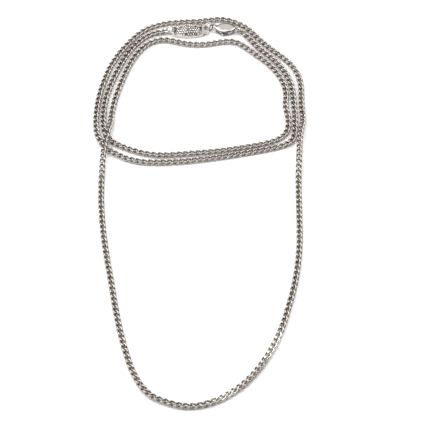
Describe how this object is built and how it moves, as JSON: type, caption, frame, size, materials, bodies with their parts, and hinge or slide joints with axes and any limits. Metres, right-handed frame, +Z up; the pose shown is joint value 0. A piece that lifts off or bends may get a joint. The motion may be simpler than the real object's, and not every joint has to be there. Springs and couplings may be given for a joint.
{
  "type": "chain necklace",
  "caption": "Long silver curb-chain necklace laid flat in two small loops and one long drop, closed by a lobster clasp on a stone-set oval tag.",
  "frame": {"origin": "middle of the laid-out necklace, on the surface that it rests on", "axes": "+Z up from the surface, +Y from the drop loop towards the clasp, +X to the right seen from above"},
  "size_m": [0.106, 0.2436, 0.0047],
  "materials": {
    "silver": "polished silver with dark recesses",
    "ring_silver": "polished silver",
    "tag_silver": "polished silver",
    "clasp_silver": "smooth polished silver",
    "stones": "cut clear stones",
    "pin_steel": "riveted flush",
    "spring_steel": "drawn spring wire"
  },
  "bodies": {
    "chain_top": {"top_left_middle": "silver", "top_front": "silver", "top_back": "silver", "top_right_middle": "silver"},
    "chain_row_1": {"left_outer_1": "silver", "left_middle_1": "silver", "left_inner_1": "silver", "right_inner_1": "silver", "right_middle_1": "silver", "right_outer_1": "silver"},
    "chain_row_2": {"left_outer_2": "silver", "left_middle_2": "silver", "left_inner_2": "silver", "right_inner_2": "silver", "right_middle_2": "silver", "right_outer_2": "silver"},
    "chain_front": {"front_upper": "silver", "front_lower": "silver", "left_crossing": "silver", "right_crossing": "silver"},
    "drop_row_1": {"left_drop_1": "silver", "right_drop_1": "silver"},
    "drop_row_2": {"left_drop_2": "silver", "right_drop_2": "silver"},
    "drop_row_3": {"left_drop_3": "silver", "right_drop_3": "silver"},
    "drop_row_4": {"left_drop_4": "silver", "right_drop_4": "silver"},
    "drop_row_5": {"left_drop_5": "silver", "right_drop_5": "silver"},
    "drop_row_6": {"left_drop_6": "silver", "right_drop_6": "silver"},
    "drop_row_7": {"left_drop_7": "silver", "right_drop_7": "silver"},
    "drop_end": {"drop_bottom": "silver"},
    "tag_ring": {"tag_ring": "ring_silver"},
    "tag": {"tag_body": "tag_silver", "tag_stones": "stones"},
    "closing_ring": {"closing_ring": "ring_silver"},
    "clasp_ring": {"clasp_ring": "ring_silver"},
    "clasp": {"clasp_body": "clasp_silver", "clasp_pin": "pin_steel", "clasp_spring": "spring_steel"},
    "clasp_lever": {"clasp_lever": "clasp_silver"}
  },
  "joints": [
    {"name": "row_1_fold", "type": "hinge", "parent": "chain_top", "child": "chain_row_1", "pos_m": [0, 0.0783, 0.00109], "axis": [1, 0, 0], "range_deg": [-12, 12]},
    {"name": "row_2_fold", "type": "hinge", "parent": "chain_row_1", "child": "chain_row_2", "pos_m": [0, 0.066, 0.00109], "axis": [1, 0, 0], "range_deg": [-12, 12]},
    {"name": "front_fold", "type": "hinge", "parent": "chain_row_2", "child": "chain_front", "pos_m": [0, 0.0537, 0.00109], "axis": [1, 0, 0], "range_deg": [-12, 12]},
    {"name": "drop_1_fold", "type": "hinge", "parent": "chain_front", "child": "drop_row_1", "pos_m": [0, 0.005, 0.00109], "axis": [1, 0, 0], "range_deg": [-12, 12]},
    {"name": "drop_2_fold", "type": "hinge", "parent": "drop_row_1", "child": "drop_row_2", "pos_m": [0, -0.0073, 0.00109], "axis": [1, 0, 0], "range_deg": [-12, 12]},
    {"name": "drop_3_fold", "type": "hinge", "parent": "drop_row_2", "child": "drop_row_3", "pos_m": [0, -0.0196, 0.00109], "axis": [1, 0, 0], "range_deg": [-12, 12]},
    {"name": "drop_4_fold", "type": "hinge", "parent": "drop_row_3", "child": "drop_row_4", "pos_m": [0, -0.0319, 0.00109], "axis": [1, 0, 0], "range_deg": [-12, 12]},
    {"name": "drop_5_fold", "type": "hinge", "parent": "drop_row_4", "child": "drop_row_5", "pos_m": [0, -0.0442, 0.00109], "axis": [1, 0, 0], "range_deg": [-12, 12]},
    {"name": "drop_6_fold", "type": "hinge", "parent": "drop_row_5", "child": "drop_row_6", "pos_m": [0, -0.0565, 0.00109], "axis": [1, 0, 0], "range_deg": [-12, 12]},
    {"name": "drop_7_fold", "type": "hinge", "parent": "drop_row_6", "child": "drop_row_7", "pos_m": [0, -0.0688, 0.00109], "axis": [1, 0, 0], "range_deg": [-12, 12]},
    {"name": "drop_8_fold", "type": "hinge", "parent": "drop_row_7", "child": "drop_end", "pos_m": [0, -0.0811, 0.00109], "axis": [1, 0, 0], "range_deg": [-12, 12]},
    {"name": "tag_ring_swivel", "type": "hinge", "parent": "chain_top", "child": "tag_ring", "pos_m": [-0.01635, 0.111, 0.0017], "axis": [0.9997, 0.0253, 0], "range_deg": [-6, 6]},
    {"name": "tag_swivel", "type": "hinge", "parent": "tag_ring", "child": "tag", "pos_m": [-0.01318, 0.11113, 0.0017], "axis": [-0.9997, -0.0239, 0], "range_deg": [-6, 6]},
    {"name": "closing_ring_swivel", "type": "hinge", "parent": "tag", "child": "closing_ring", "pos_m": [0.00311, 0.11257, 0.0017], "axis": [0.9991, -0.0416, 0], "range_deg": [-6, 6]},
    {"name": "clasp_swivel", "type": "hinge", "parent": "closing_ring", "child": "clasp", "pos_m": [0.00649, 0.11418, 0.0017], "axis": [-0.9842, 0.1771, 0], "range_deg": [-6, 6]},
    {"name": "clasp_ring_swivel", "type": "hinge", "parent": "chain_top", "child": "clasp_ring", "pos_m": [0.0217, 0.1106, 0.0017], "axis": [-0.8909, 0.4542, 0], "range_deg": [-6, 6]},
    {"name": "lever_press", "type": "hinge", "parent": "clasp", "child": "clasp_lever", "pos_m": [0.01105, 0.111, 0.0016], "axis": [0, 0, -1], "range_deg": [0, 18], "stiffness_Nm_per_rad": 0.002, "springref_deg": -9.74}
  ]
}
